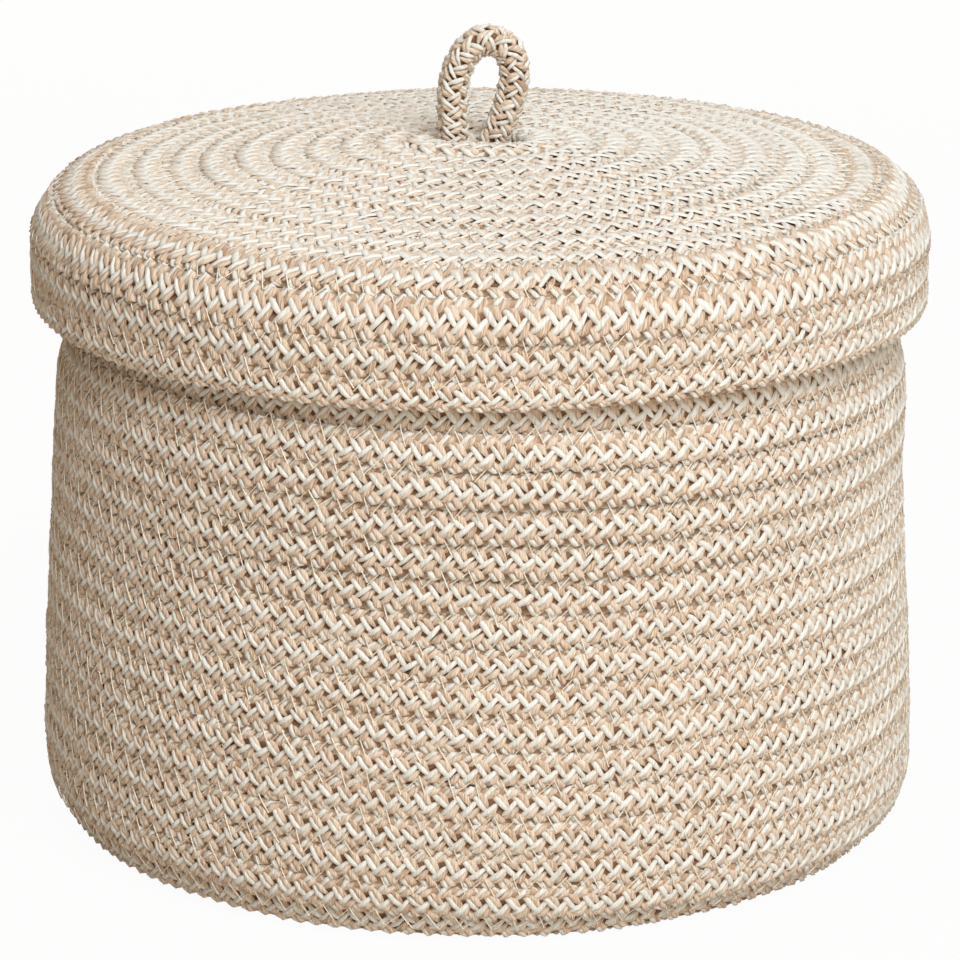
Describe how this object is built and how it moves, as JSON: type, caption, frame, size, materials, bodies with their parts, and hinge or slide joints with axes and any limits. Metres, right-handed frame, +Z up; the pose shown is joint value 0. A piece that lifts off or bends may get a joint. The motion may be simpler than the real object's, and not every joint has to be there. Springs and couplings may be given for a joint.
{
  "type": "lidded basket",
  "caption": "Round storage basket wound from braided rope in sewn turns, with an overlapping lift-off lid and an upright rope loop as its handle.",
  "frame": {"origin": "centre of the flat underside, on the surface that the basket stands on", "axes": "+Z up along the basket's axis; +X to the right as pictured, so that the front faces -Y and the handle's loop lies across the view"},
  "size_m": [0.24, 0.24, 0.2148],
  "materials": {
    "body_rope": "matt braided rope of cream and beige yarns",
    "lid_rope": "matt braided rope of cream and beige yarns",
    "handle_rope": "matt braided rope of cream and beige yarns",
    "seam_thread": "smooth cream sewing thread"
  },
  "bodies": {
    "basket": {"base_coil": "body_rope", "wall_coil": "body_rope", "wall_seam_thread": "seam_thread"},
    "lid": {"lid_top_coil": "lid_rope", "lid_skirt_coil": "lid_rope", "lid_seam_thread": "seam_thread", "handle_loop": "handle_rope"}
  },
  "joints": [
    {"name": "lid_lift", "type": "slide", "parent": "basket", "child": "lid", "axis": [0, 0, 1], "range_m": [0, 0.08]}
  ]
}
